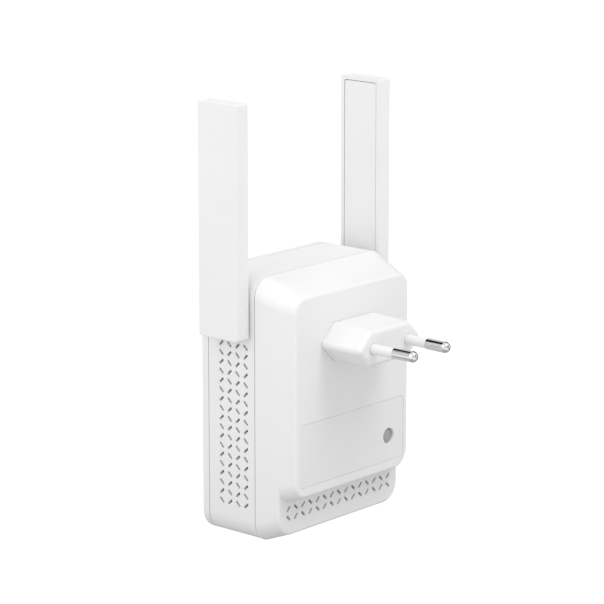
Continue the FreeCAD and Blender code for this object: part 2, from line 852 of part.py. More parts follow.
def make_pin(name, side):
    """One contact pin: full thickness in the block and at the tip, thinner in its sleeve."""
    tip = d.pin_length - d.pin_radius
    profile = [
        (ZERO, -d.pin_root),
        (d.pin_radius, -d.pin_root),
        (d.pin_radius, -d.sleeve_root),
        (d.pin_core, -d.sleeve_root),
        (d.pin_core, d.sleeve_length),
        (d.pin_radius, d.sleeve_length),
        (d.pin_radius, tip),
    ]
    place = (d.pin_half * side, 0, 0)
    keep(turned(f"plug_pin_{name}", profile, place, "+y", dome=True, lean=pin_lean(side)))
    sleeve = [
        (d.pin_core + d.slip / 2, -d.sleeve_root + d.slip),
        (d.sleeve_radius, -d.sleeve_root + d.slip),
        (d.sleeve_radius, d.sleeve_length - d.slip),
        (d.pin_core + d.slip / 2, d.sleeve_length - d.slip),
    ]
    keep(turned(f"pin_sleeve_{name}", sleeve, place, "+y", lean=pin_lean(side)))
    make_contact(name, side)


def make_contact(name, side):
    """A bent strip that presses on the pin's inner end and stands on the power board."""
    leaf, half, wide = size(0.5), size(1.5), size(2.6)
    middle = (d.pin_half + d.pin_lean * d.pin_root / d.pin_length) * side
    upright = middle - wide * side
    top = d.pin_root + d.fit
    pieces = (
        box(f"contact_top_{name}", (upright, middle + wide * side), (-top, -top - leaf),
            (-half, half)),
        box(f"contact_upright_{name}", (upright, upright + leaf * side), (-top, -power_rear),
            (-half, half)),
        box(f"contact_foot_{name}", (upright, middle + wide * side),
            (-power_rear, -power_rear + leaf), (-half, half)),
    )
    keep(fuse(f"mains_contact_{name}", *pieces))


# --- boards and what stands on them ---------------------------------------------------------


def on_board(label, across, up, floor, height):
    """A block that stands on the rear side of a board."""
    return box(label, across, (-floor, -floor + height), up)


def can(label, radius, spot, floor, height):
    """A round component with a bevelled rim, standing on the rear side of a board."""
    bevel = size(0.4)
    profile = [(ZERO, ZERO), (radius, ZERO), (radius, size(height) - bevel),
               (size(radius) - bevel, height), (ZERO, height)]
    return turned(label, profile, (spot[0], -floor, spot[1]), "+y")


def screws(label, spots, depth, towards, through):
    """Pan-head screws: the head lies outside the board, the shank bites into its boss."""
    made = []
    for number, (x, z) in enumerate(spots, 1):
        head_start = d.screw_head_thick * (-1 if towards == "+y" else 1)
        made.append(turned(f"{label}_{number}", disc_profile(
            (d.screw_head, d.screw_head_thick),
            (d.screw_radius, through + d.screw_bite),
        ), (x, head_start - depth, z), towards))
    return group(label, *made)


def make_power_board():
    """The mains board on its posts, with the insulating sheet clamped to its front."""
    half = d.power_half
    link_holes = rods_at("link_hole", LINK_SPOTS, LINK_PIN + d.slip, sheet_front + 1, "+y",
                         d.power_thick + d.sheet_thick + 2)
    screw_holes = rods_at("power_hole", post_spots, board_hole, sheet_front + 1, "+y",
                          d.power_thick + d.sheet_thick + 2)
    holes = fuse("power_holes", *link_holes, *screw_holes)
    plate = box("power_plate", (-half, half), (-power_rear, -power_front),
                (-d.power_foot, d.power_top))
    film = box("insulation_plate", (-half, half), (-power_front, -sheet_front),
               (-d.power_foot, d.power_top))
    keep(cut("power_board", plate, holes))
    keep(cut("insulation_sheet", film, holes))
    through = d.power_thick + d.sheet_thick
    keep(screws("power_board_screws", post_spots, sheet_front, "+y", through))


def make_transformer():
    """A small switching transformer: ferrite core, winding and bobbin rails."""
    foot, top = power_rear - 0.8, power_rear - 12.8
    middle = size(-19)
    core = box("core_block", (-8, 8), (-foot, -top), (middle - 3, middle + 3))
    windows = [box(f"core_window_{name}", (2.2 * side, 5.8 * side), (-foot + 2, -top - 2),
                   (middle - 4, middle + 4)) for name, side in SIDES.items()]
    keep(cut("transformer_core", core, *windows))
    coil = box("coil_block", (-5.6, 5.6), (-foot + 2.2, -top - 2.2), (middle - 6, middle + 6))
    leg = box("coil_leg", (-2.3, 2.3), (-foot, -top), (middle - 3.1, middle + 3.1))
    keep(cut("transformer_winding", coil, leg))
    rails = [on_board(f"bobbin_rail_{name}", (-5.6, 5.6),
                      (middle + 4 * side, middle + 6 * side), power_rear, 3.0)
             for name, side in SIDES.items()]
    keep(group("transformer_bobbin", *rails))


def make_power_parts():
    """What stands on the mains board."""
    keep(group("bulk_capacitors", *(can(f"bulk_capacitor_{number}", 4.0, (across, 11.8),
                                        power_rear, 13.0)
                                    for number, across in enumerate((-15.2, -6.0), 1))))
    keep(group("output_capacitors", *(can(f"output_capacitor_{number}", 3.15, (16.0, up),
                                          power_rear, 9.0)
                                      for number, up in enumerate((-20.0, -12.0), 1))))
    keep(can("mains_choke", 3.5, (15.0, 11.5), power_rear, 9.0))
    keep(turned("fuse_resistor", disc_profile((1.2, 1.0), (1.6, 6.0), (1.2, 1.0)),
                (1.0, -power_rear + 1.6, 12.5), "+x"))
    keep(on_board("bridge_rectifier", (-24.0, -17.5), (-4.5, 0.5), power_rear, 2.5))
    keep(on_board("safety_capacitor", (-22.0, -12.0), (-14.5, -9.0), power_rear, 10.0))
    keep(on_board("power_controller", (-19.0, -14.0), (-24.0, -20.0), power_rear, 1.6))


LINK_PIN = 0.32
LINK_SPOTS = [(size(2.54 * step), size(-28.5)) for step in (-1.5, -0.5, 0.5, 1.5)]


def make_main_board():
    """The radio board on the tray's bosses, its screws and the link to the mains board."""
    plate = box("main_plate", (-d.main_half, d.main_half), (-main_front, -main_rear),
                (-d.main_foot, d.main_top))
    holes = rods_at("main_hole", main_boss_spots, board_hole, main_front + 1, "+y",
                    d.main_thick + 2)
    keep(cut("main_board", plate, *holes))
    keep(screws("main_board_screws", main_boss_spots, main_rear, "-y", d.main_thick))
    socket_top = sheet_front + 0.6
    socket = box("link_block", (-5.4, 5.4), (-main_rear, -socket_top), (-29.8, -27.2))
    wells = rods_at("link_well", LINK_SPOTS, LINK_PIN + d.slip, main_rear - 1.5, "+y",
                    main_rear - socket_top)
    keep(cut("board_link_socket", socket, *wells))
    pins = rods_at("link_pin", LINK_SPOTS, LINK_PIN, power_rear - 0.8, "-y",
                   main_rear - 2.5 - power_rear)
    keep(group("board_link_pins", *pins))


def make_radio():
    """The shielded radio with its chip, thermal pad and heat sink."""
    lid_wall, shield_high = size(0.3), size(2.4)
    chip_high = size(0.9)
    middle = size(2.0)
    half, chip_half, sink_half = size(11.0), size(4.0), size(9.0)
    shell = on_board("shield_block", (-half, half), (middle - half, middle + half), main_rear,
                     shield_high)
    inside = half - lid_wall
    space = on_board("shield_space", (-inside, inside), (middle - inside, middle + inside),
                     main_rear + 1, shield_high - lid_wall + 1)
    keep(cut("radio_shield", shell, space))
    keep(on_board("radio_chip", (-chip_half, chip_half),
                  (middle - chip_half, middle + chip_half), main_rear, chip_high))
    keep(on_board("thermal_pad", (-chip_half, chip_half),
                  (middle - chip_half, middle + chip_half), main_rear - chip_high,
                  shield_high - lid_wall - chip_high))
    base_floor = main_rear - shield_high
    base = on_board("sink_base", (-sink_half, sink_half),
                    (middle - sink_half, middle + sink_half), base_floor, 1.2)
    fins = [on_board(f"sink_fin_{step}", (-9.0 + 4.25 * step, -8.0 + 4.25 * step),
                     (middle - sink_half, middle + sink_half), base_floor, 5.0)
            for step in range(5)]
    keep(fuse("heat_sink", base, *fins))


def make_main_parts():
    """The small parts on the main board."""
    keep(on_board("flash_chip", (-20.0, -15.0), (-14.5, -9.5), main_rear, 1.6))
    keep(on_board("memory_chip", (-4.0, 4.0), (-23.0, -13.0), main_rear, 1.0))
    keep(on_board("crystal", (14.0, 17.2), (-6.0, -3.5), main_rear, 0.8))
    keep(group("inductors", *(on_board(f"inductor_{number}", (14.0, 18.0), (low, low + 4.0),
                                       main_rear, 2.0)
                              for number, low in enumerate((-24.0, -34.0), 1))))
    keep(box("status_led", (-0.8, 0.8), (-main_front, -main_front - LED_HEIGHT),
             (d.light_height - 0.4, d.light_height + 0.4)))


def make_button():
    """The recessed reset button, its long stem and the switch that it presses."""
    cap_face = d.plateau_plane + d.button_sink
    switch_top = main_rear - d.switch_height
    plunger_top = switch_top - d.plunger_stand
    cap_length = plateau_inside + d.fit - cap_face
    stem_length = plunger_top - cap_face - cap_length - d.button_flange_thick
    x, z = button_spot
    keep(turned("reset_button", disc_profile(
        (d.button_hole - d.fit, cap_length),
        (d.button_hole + d.button_flange, d.button_flange_thick),
        (d.button_stem, stem_length),
    ), (x, -cap_face, z), "-y"))
    plunger_length = d.plunger_stand + d.plunger_sunk
    keep(turned("switch_plunger", disc_profile((d.plunger_radius, plunger_length)),
                (x, -plunger_top, z), "-y"))
    base = on_board("switch_block", (x - d.switch_half, x + d.switch_half),
                    (z - d.switch_half, z + d.switch_half), main_rear, d.switch_height)
    well = rod("switch_well", d.plunger_radius + d.fit, (x, -switch_top + 1, z), "-y",
               d.plunger_sunk + d.plunger_room + 1)
    keep(cut("reset_switch", base, well))


# --- antennas -------------------------------------------------------------------------------


def antenna_pad(body, label, side, start, end, inset, radius):
    """A plate of the antenna's outline, set in by an amount, between two widths."""
    low, high = in_order((start * side, end * side))
    face = outline(body, f"{label}_outline", "YZ_Plane", low,
                   (-(antenna_front - inset), -(antenna_rear + inset)),
                   (d.antenna_low + inset, antenna_high - inset), radius)
    return feature(body, "Pad", f"{label}_pad", face, Length=high - low)


def make_antenna(name, side):
    """One antenna: shell, cover, element, hollow shaft, clip and its inner cable."""
    hub = (-d.hinge_depth, d.hinge_height)

    def on_hinge(label, radius, start, end):
        low, high = in_order((start * side, end * side))
        return rod(label, radius, (low, *hub), "+x", high - low)

    blade = new_body(f"antenna_blade_{name}")
    antenna_pad(blade, f"blade_{name}", side, antenna_inner, antenna_outer, ZERO,
                d.antenna_edge)
    round_edges(blade, f"blade_round_{name}", d.antenna_edge / 2,
                lambda edge: at_level(edge, "X", antenna_outer * side))
    bed = new_body(f"antenna_bed_{name}")
    antenna_pad(bed, f"bed_{name}", side, antenna_inner - 1, cover_seat, d.antenna_rim,
                d.antenna_edge)
    well = new_body(f"antenna_well_{name}")
    antenna_pad(well, f"well_{name}", side, antenna_inner - 1, antenna_floor,
                d.antenna_rim + d.antenna_ledge, d.antenna_edge)
    hollow = cut(f"antenna_hollow_{name}", blade, bed, well)
    cup = cut(f"hinge_cup_{name}",
              on_hinge(f"cup_out_{name}", d.collar_radius, collar_end, antenna_floor + 0.5),
              on_hinge(f"cup_in_{name}", d.collar_radius - d.cup_wall, collar_end - 1,
                       antenna_floor),
              box(f"cup_notch_{name}", ((collar_end - 1) * side, antenna_floor * side),
                  (hub[0] - 1.5, hub[0] + 1.5), (hub[1], hub[1] + d.collar_radius + 1)))
    rail_start = antenna_floor - d.rail_height
    rails = [box(f"rail_{name}_{number}", (rail_start * side, (antenna_floor + 0.5) * side),
                 (-d.hinge_depth + across - d.rail_wide / 2,
                  -d.hinge_depth + across + d.rail_wide / 2),
                 (d.element_low, d.element_high))
             for number, across in enumerate((d.rail_across, -d.rail_across), 1)]
    keep(fuse(f"antenna_shell_{name}", hollow, cup, *rails))

    lid = new_body(f"antenna_lid_{name}")
    antenna_pad(lid, f"lid_{name}", side, antenna_inner + d.cover_sink, cover_seat,
                d.antenna_rim + d.cover_gap, d.antenna_edge)
    keep(cut(f"antenna_cover_{name}", lid,
             on_hinge(f"lid_hole_{name}", d.shaft_radius + d.slip, antenna_inner - 1,
                      cover_seat + 1)))

    keep(box(f"antenna_element_{name}",
             ((rail_start - d.element_thick) * side, rail_start * side),
             (-d.hinge_depth - d.element_half, -d.hinge_depth + d.element_half),
             (d.element_low, d.element_high)))

    keep(turned(f"hinge_shaft_{name}", [
        (d.shaft_bore, ZERO),
        (d.shaft_radius, ZERO),
        (d.shaft_radius, clip_start - d.slip - d.shaft_reach),
        (d.shaft_radius - d.clip_groove, clip_start - d.slip - d.shaft_reach),
        (d.shaft_radius - d.clip_groove, clip_end + d.slip - d.shaft_reach),
        (d.shaft_radius, clip_end + d.slip - d.shaft_reach),
        (d.shaft_radius, cover_seat - d.shaft_reach),
        (d.collar_radius, cover_seat - d.shaft_reach),
        (d.collar_radius, collar_end - d.shaft_reach),
        (d.bore_mouth, collar_end - d.shaft_reach),
        (d.shaft_bore, collar_end - d.bore_flare - d.shaft_reach),
    ], (d.shaft_reach * side, *hub), "+x" if side > 0 else "-x"))

    ring = cut(f"clip_ring_{name}",
               on_hinge(f"clip_out_{name}", d.clip_radius, clip_start, clip_end),
               on_hinge(f"clip_in_{name}", d.shaft_radius - d.clip_groove + d.slip,
                        clip_start - 1, clip_end + 1),
               box(f"clip_mouth_{name}", ((clip_start - 1) * side, (clip_end + 1) * side),
                   (hub[0] - d.clip_mouth / 2, hub[0] + d.clip_mouth / 2),
                   (hub[1] - d.clip_radius - 1, hub[1])))
    ring.Label = f"hinge_clip_{name}"
    keep(ring)

    washer = cut(f"washer_ring_{name}",
                 on_hinge(f"washer_out_{name}", d.washer_radius, washer_face, washer_back),
                 on_hinge(f"washer_in_{name}", d.shaft_radius + d.fit, washer_face - 1,
                          side_inside + 1))
    washer.Label = f"hinge_washer_{name}"
    keep(washer)

    channel = antenna_floor - d.coax_radius - 0.6
    keep(routed(f"antenna_coax_{name}", d.coax_radius, [
        (d.shaft_reach * side, *hub),
        (channel * side, *hub),
        (channel * side, hub[0], d.element_low),
    ], d.coax_bend))


PLUG_HIGH = 1.9
PLUG_RADIUS = 1.6


def make_coax():
    """The snap-on coax plugs on the main board and the leads that run to the hinges."""
    across = size(20.0)
    level = -d.hinge_depth
    plugs = [can(f"coax_plug_{name}", PLUG_RADIUS, (across * side, d.hinge_height), main_rear,
                 PLUG_HIGH) for name, side in SIDES.items()]
    keep(group("coax_plugs", *plugs))
    low = -main_rear + PLUG_HIGH / 2
    for name, side in SIDES.items():
        keep(routed(f"board_coax_{name}", d.coax_radius, [
            ((across + PLUG_RADIUS) * side, low, d.hinge_height),
            ((across + 4.0) * side, low, d.hinge_height),
            ((across + 5.6) * side, level, d.hinge_height),
            ((d.shaft_reach - d.coax_gap) * side, level, d.hinge_height),
        ]))


make_front_cover()
make_mid_housing()
make_rear_cover()
make_label()
make_light_pipe()
make_plug()
make_power_board()
make_transformer()
make_power_parts()
make_main_board()
make_radio()
make_main_parts()
make_button()
for side_name, side_sign in SIDES.items():
    make_antenna(side_name, side_sign)
make_coax()

doc.recompute()
for thing in doc.Objects:
    if "Invalid" in thing.State or "Error" in thing.State:
        raise RuntimeError(f"{thing.Label} did not build: {thing.State}")
for node in nodes:
    if node.Shape.isNull() or not node.Shape.isValid() or not node.Shape.Solids:
        raise RuntimeError(f"{node.Label} has no sound solid")

os.makedirs("parts", exist_ok=True)
for node in nodes:
    node.Shape.exportStep(f"parts/{node.Label}.step")
print(f"{len(nodes)} nodes written")
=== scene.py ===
import math

import bpy
from bpy.props import FloatProperty, FloatVectorProperty, PointerProperty
from bpy.types import Operator, Panel, PropertyGroup
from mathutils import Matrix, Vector


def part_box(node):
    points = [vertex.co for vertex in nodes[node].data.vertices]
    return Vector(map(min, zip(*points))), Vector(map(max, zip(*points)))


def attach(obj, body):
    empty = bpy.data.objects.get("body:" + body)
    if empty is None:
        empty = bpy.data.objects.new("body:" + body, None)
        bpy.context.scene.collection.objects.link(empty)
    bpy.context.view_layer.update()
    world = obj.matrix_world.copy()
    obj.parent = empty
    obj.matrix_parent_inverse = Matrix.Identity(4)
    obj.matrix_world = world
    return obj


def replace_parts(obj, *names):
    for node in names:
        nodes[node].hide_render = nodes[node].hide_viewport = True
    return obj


bl_info = {
    "name": "Range extender finishes",
    "version": (1, 0, 0),
    "blender": (4, 5, 0),
    "location": "3D View > Sidebar > Extender",
    "description": "Finishes, light and camera for a plug-in wifi range extender",
    "category": "Material",
}

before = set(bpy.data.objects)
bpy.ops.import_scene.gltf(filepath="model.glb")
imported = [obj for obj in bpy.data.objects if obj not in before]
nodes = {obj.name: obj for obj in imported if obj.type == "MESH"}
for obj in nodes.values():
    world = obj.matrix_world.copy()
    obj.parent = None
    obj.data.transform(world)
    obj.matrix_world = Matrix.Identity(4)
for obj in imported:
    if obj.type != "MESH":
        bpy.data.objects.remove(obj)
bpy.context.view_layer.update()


# the reset button's cap: its radius as a share of the flange's, and its lengths in metres
CAP_SHARE = 0.7067
CAP_LENGTH = 0.00165
FLANGE_THICK = 0.001
STEM_RADIUS = 0.0012
DOME_RISE = 0.00045
DOME_ANGLE = math.radians(32)
DOME_STEPS = 10
RIM_ROUND = 0.0003
RIM_STEPS = 5

# the moulded plastics: texture sizes in metres, and how far their gloss strays
CLOUD_SIZE = 0.028
FLOW_SIZE = 0.012
FLOW_SHARE = 0.6
GLOSS_PATCH = 0.006
GLOSS_LOW = 0.92
GLOSS_HIGH = 1.10
CLEAR_IOR = 1.49

# the bare metals: drawn lines, tarnish and how far their gloss strays
DRAWN_SQUEEZE = 0.06
TARNISH_SIZE = 0.003
TARNISH = 0.93
DRAWN_LOW = 0.8
DRAWN_HIGH = 1.5

# the boards: tracks, and the glass weave under the resist
TRACK_SIZE = 0.0035
TRACK_SQUEEZE = 0.35
WEAVE_PITCH = 0.0006
TRACK_SHADE = 0.72

# the stage
SUN_REACH = 3
CARD_BLACK = 0.025
CARD_GREY = 0.42
CARD_SPOT = (0, -0.03, -0.125)

# --- sizes and colours that a user would change ------------------------------------------


class PlasticSettings(PropertyGroup):
    """The white moulded plastic of the housing, antennas and plug."""

    tone: FloatVectorProperty(
        name="Shell tone", description="Colour of the white housing",
        default=(0.80, 0.80, 0.802), size=3, subtype="COLOR", min=0, max=1)
    label_tone: FloatVectorProperty(
        name="Label tone", description="Colour of the blank label film",
        default=(0.77, 0.77, 0.775), size=3, subtype="COLOR", min=0, max=1)
    button_tone: FloatVectorProperty(
        name="Button tone", description="Colour of the reset button",
        default=(0.36, 0.36, 0.365), size=3, subtype="COLOR", min=0, max=1)
    gloss: FloatProperty(
        name="Roughness", description="Roughness of the shell's satin surface",
        default=0.42, min=0.05, max=1, subtype="FACTOR")
    grain: FloatProperty(
        name="Grain size", description="Size of the mould's fine spark texture",
        default=0.00045, min=0.0001, max=0.005, unit="LENGTH")
    grain_depth: FloatProperty(
        name="Grain depth", description="Height of the mould's fine spark texture",
        default=0.000006, min=0, max=0.0005, unit="LENGTH", precision=6)


class MetalSettings(PropertyGroup):
    """The bare metals."""

    nickel: FloatVectorProperty(
        name="Nickel", description="Colour of the plated mains pins",
        default=(0.74, 0.735, 0.72), size=3, subtype="COLOR", min=0, max=1)
    polish: FloatProperty(
        name="Pin roughness", description="Roughness of the polished pins",
        default=0.045, min=0.01, max=1, subtype="FACTOR")
    brass: FloatVectorProperty(
        name="Brass", description="Colour of the sprung mains contacts",
        default=(0.80, 0.60, 0.28), size=3, subtype="COLOR", min=0, max=1)
    steel: FloatVectorProperty(
        name="Steel", description="Colour of screws, washers and clips",
        default=(0.62, 0.62, 0.63), size=3, subtype="COLOR", min=0, max=1)


class StageSettings(PropertyGroup):
    """The pale floor, the soft light and the camera."""

    floor_width: FloatProperty(
        name="Floor width", description="Side of the square floor",
        default=24.0, min=1, unit="LENGTH")
    floor_drop: FloatProperty(
        name="Floor drop", description="Height of the origin above the floor",
        default=0.34, min=0.1, unit="LENGTH")
    sky: FloatProperty(
        name="Sky light", description="Strength of the even light all round",
        default=0.83, min=0)
    key: FloatProperty(
        name="Key light", description="Strength of the soft light from above",
        default=1.06, min=0)
    fill: FloatProperty(
        name="Fill light", description="Strength of the light on the vented side",
        default=0.60, min=0)
    bearing: FloatProperty(
        name="Camera bearing", description="Direction of the camera round the object",
        default=math.radians(131.31), subtype="ANGLE")
    elevation: FloatProperty(
        name="Camera elevation", description="Height of the camera as an angle",
        default=math.radians(13.23), subtype="ANGLE")
    distance: FloatProperty(
        name="Camera distance", description="Distance from the camera to its target",
        default=1.0171, min=0.1, unit="LENGTH")
    target: FloatVectorProperty(
        name="Camera target", description="The point at the middle of the view",
        default=(0.0012, -0.0397, 0.0090), size=3, subtype="TRANSLATION")
    lens: FloatProperty(
        name="Lens", description="Focal length in millimetres",
        default=171.4, min=10, subtype="DISTANCE_CAMERA")


# --- shader helpers -----------------------------------------------------------------------


class Finish:
    """A node material, with short calls for the textures that the finishes share."""

    def __init__(self, name):
        self.material = bpy.data.materials.new(name)
        self.material.use_nodes = True
        self.tree = self.material.node_tree
        self.shader = self.tree.nodes["Principled BSDF"]
        self.place = self.add("ShaderNodeTexCoord").outputs["Object"]

    def add(self, kind, **settings):
        """A new node of this kind, with its settings."""
        node = self.tree.nodes.new(kind)
        for field, value in settings.items():
            setattr(node, field, value)
        return node

    def link(self, source, target):
        self.tree.links.new(source, target)

    def stretched(self, x, y, z):
        """The surface's own coordinates, squeezed along each axis."""
        mapping = self.add("ShaderNodeMapping")
        mapping.inputs["Scale"].default_value = (x, y, z)
        self.link(self.place, mapping.inputs["Vector"])
        return mapping.outputs["Vector"]

    def noise(self, size, detail=2.0, place=None):
        """Soft random blotches of about the given size."""
        node = self.add("ShaderNodeTexNoise")
        node.inputs["Scale"].default_value = 1 / size
        node.inputs["Detail"].default_value = detail
        self.link(place or self.place, node.inputs["Vector"])
        return node.outputs["Fac"]

    def specks(self, size, place=None):
        """Small cells, as in spark-eroded tooling or a crushed core."""
        node = self.add("ShaderNodeTexVoronoi")
        node.inputs["Scale"].default_value = 1 / size
        self.link(place or self.place, node.inputs["Vector"])
        return node.outputs["Distance"]

    def bands(self, pitch, axis, wobble=0.0):
        """Regular ridges across an axis; the wave repeats every pi / 10 at scale 1."""
        node = self.add("ShaderNodeTexWave", bands_direction=axis)
        node.inputs["Scale"].default_value = math.pi / (10 * pitch)
        node.inputs["Distortion"].default_value = wobble
        self.link(self.place, node.inputs["Vector"])
        return node.outputs["Fac"]

    def spread(self, value, low, high):
        """The value moved into a range."""
        node = self.add("ShaderNodeMapRange")
        node.inputs["To Min"].default_value = low
        node.inputs["To Max"].default_value = high
        self.link(value, node.inputs["Value"])
        return node.outputs["Result"]

    def joined(self, first, second, share):
        """Two heights added, the second by its share."""
        node = self.add("ShaderNodeMath", operation="MULTIPLY_ADD")
        node.inputs[1].default_value = share
        self.link(second, node.inputs[0])
        self.link(first, node.inputs[2])
        return node.outputs["Value"]

    def tint(self, value, dark, light, start=0.3, end=0.7):
        """The colour runs from dark to light with the value."""
        ramp = self.add("ShaderNodeValToRGB")
        for stop, spot, colour in zip(ramp.color_ramp.elements, (start, end), (dark, light)):
            stop.position = spot
            stop.color = (*colour, 1)
        self.link(value, ramp.inputs["Fac"])
        self.link(ramp.outputs["Color"], self.shader.inputs["Base Color"])

    def rough(self, value, low, high):
        """The roughness runs from low to high with the value."""
        self.link(self.spread(value, low, high), self.shader.inputs["Roughness"])

    def relief(self, height, depth):
        """The surface rises with the height, by this depth in metres."""
        node = self.add("ShaderNodeBump")
        node.inputs["Strength"].default_value = 1.0
        node.inputs["Distance"].default_value = depth
        self.link(height, node.inputs["Height"])
        self.link(node.outputs["Normal"], self.shader.inputs["Normal"])

    def fixed(self, **sockets):
        """Plain numbers on the shader's own sockets."""
        for word, value in sockets.items():
            self.shader.inputs[word.replace("_", " ")].default_value = value


def shaded(colour, factor):
    """The colour, darker or lighter by a factor."""
    return tuple(min(1.0, channel * factor) for channel in colour)


def dress(finish, *names):
    """Puts a finish on CAD nodes, in the slots that they have."""
    for name in names:
        piece = nodes[name]
        if not piece.material_slots:
            piece.data.materials.append(finish.material)
        for place in piece.material_slots:
            place.material = finish.material


def both(*stems):
    """The right and left names of paired nodes."""
    return [f"{stem}_{side}" for stem in stems for side in ("right", "left")]


def lathed(name, spot, profile, finish, segments=72):
    """A smooth turned piece about a line along Y, from (radius, depth) pairs."""
    rings = []
    points = []
    for radius, depth in profile:
        ring = []
        for step in range(segments if radius else 1):
            angle = math.tau * step / segments
            ring.append(len(points))
            points.append((spot[0] + radius * math.cos(angle), spot[1] - depth,
                           spot[2] + radius * math.sin(angle)))
        rings.append(ring)
    faces = []
    for near, far in zip(rings, rings[1:]):
        for step in range(segments):
            after = (step + 1) % segments
            corners = [near[step % len(near)], near[after % len(near)],
                       far[after % len(far)], far[step % len(far)]]
            faces.append(list(dict.fromkeys(corners)))
    mesh = bpy.data.meshes.new(name)
    mesh.from_pydata(points, [], faces)
    mesh.validate()
    mesh.materials.append(finish.material)
    made = bpy.data.objects.new(name, mesh)
    bpy.context.scene.collection.objects.link(made)
    for polygon in mesh.polygons:
        polygon.use_smooth = True
    return made


def moulded(name, tone, roughness, grain, depth, cloud=0.018):
    """Satin moulded plastic: fine spark texture, faint flow clouds and uneven gloss."""
    finish = Finish(name)
    clouds = finish.noise(CLOUD_SIZE, detail=3.0)
    sparks = finish.noise(grain, detail=2.0)
    finish.tint(clouds, shaded(tone, 1 - cloud), tone)
    patches = finish.noise(GLOSS_PATCH, detail=4.0)
    finish.rough(patches, roughness * GLOSS_LOW, roughness * GLOSS_HIGH)
    flow = finish.noise(FLOW_SIZE, detail=1.0)
    finish.relief(finish.joined(sparks, flow, FLOW_SHARE), depth)
    finish.fixed(IOR=CLEAR_IOR)
    return finish


def metal(name, tone, roughness, grain, depth):
    """Bare metal with fine drawn lines along Y."""
    finish = Finish(name)
    drawn = finish.noise(grain, detail=3.0, place=finish.stretched(1.0, DRAWN_SQUEEZE, 1.0))
    finish.tint(finish.noise(TARNISH_SIZE, detail=3.0), shaded(tone, TARNISH), tone)
    finish.rough(drawn, roughness * DRAWN_LOW, roughness * DRAWN_HIGH)
    finish.relief(drawn, depth)
    finish.fixed(Metallic=1.0)
    return finish


# --- pieces -------------------------------------------------------------------------------


class EXTENDER_OT_housing(Operator):
    """Finish the lid, the vented tray and the back shell in satin white plastic"""

    bl_idname = "extender.housing"
    bl_label = "Housing"

    def execute(self, context):
        look = context.scene.extender_plastic
        shell = moulded("housing_white", look.tone, look.gloss, look.grain, look.grain_depth)
        dress(shell, "front_cover", "mid_housing", "rear_cover")
        return {"FINISHED"}


class EXTENDER_OT_antennas(Operator):
    """Finish the antenna blades, their panels and their hollow shafts"""

    bl_idname = "extender.antennas"
    bl_label = "Antennas"

    def execute(self, context):
        look = context.scene.extender_plastic
        blade = moulded("antenna_white", look.tone, look.gloss * 1.05, look.grain,
                        look.grain_depth)
        panel = moulded("antenna_panel_white", look.tone, look.gloss * 0.95, look.grain,
                        look.grain_depth * 0.7)
        dress(blade, *both("antenna_shell", "hinge_shaft"))
        dress(panel, *both("antenna_cover"))
        return {"FINISHED"}


class EXTENDER_OT_plug(Operator):
    """Finish the plug block, its sleeved pins and the contact springs"""

    bl_idname = "extender.plug"
    bl_label = "Plug"

    def execute(self, context):
        look = context.scene.extender_plastic
        metals = context.scene.extender_metal
        block = moulded("plug_white", look.tone, look.gloss, look.grain, look.grain_depth)
        sleeve = moulded("sleeve_white", shaded(look.tone, 0.99), look.gloss * 0.9,
                         look.grain, look.grain_depth * 0.5)
        pins = metal("pin_nickel", metals.nickel, metals.polish, grain=0.0004, depth=0.000002)
        springs = metal("contact_brass", metals.brass, roughness=0.28, grain=0.0005,
                        depth=0.000004)
        dress(block, "plug_body")
        dress(sleeve, *both("pin_sleeve"))
        dress(pins, *both("plug_pin"))
        dress(springs, *both("mains_contact"))
        return {"FINISHED"}


def reset_cap(finish):
    """The reset button with a domed, softly rimmed face, as long as the node it stands for."""
    low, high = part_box("reset_button")
    centre = (low + high) / 2
    flange = (high.x - low.x) / 2
    length = high.y - low.y
    cap = flange * CAP_SHARE
    face = [(0.0, 0.0)]
    for step in range(1, DOME_STEPS + 1):
        lean = DOME_ANGLE * step / DOME_STEPS
        radius = (cap - RIM_ROUND) * math.sin(lean) / math.sin(DOME_ANGLE)
        drop = DOME_RISE * (1 - math.cos(lean)) / (1 - math.cos(DOME_ANGLE))
        face.append((radius, drop))
    for step in range(1, RIM_STEPS + 1):
        turn = DOME_ANGLE / 2 + (math.pi / 2 - DOME_ANGLE / 2) * step / RIM_STEPS
        face.append((cap - RIM_ROUND * (1 - math.sin(turn)),
                     DOME_RISE + RIM_ROUND * (1 - math.cos(turn))))
    body = [(cap, CAP_LENGTH), (flange, CAP_LENGTH), (flange, CAP_LENGTH + FLANGE_THICK),
            (STEM_RADIUS, CAP_LENGTH + FLANGE_THICK), (STEM_RADIUS, length), (0.0, length)]
    return lathed("reset_cap", (centre.x, high.y, centre.z), face + body, finish)


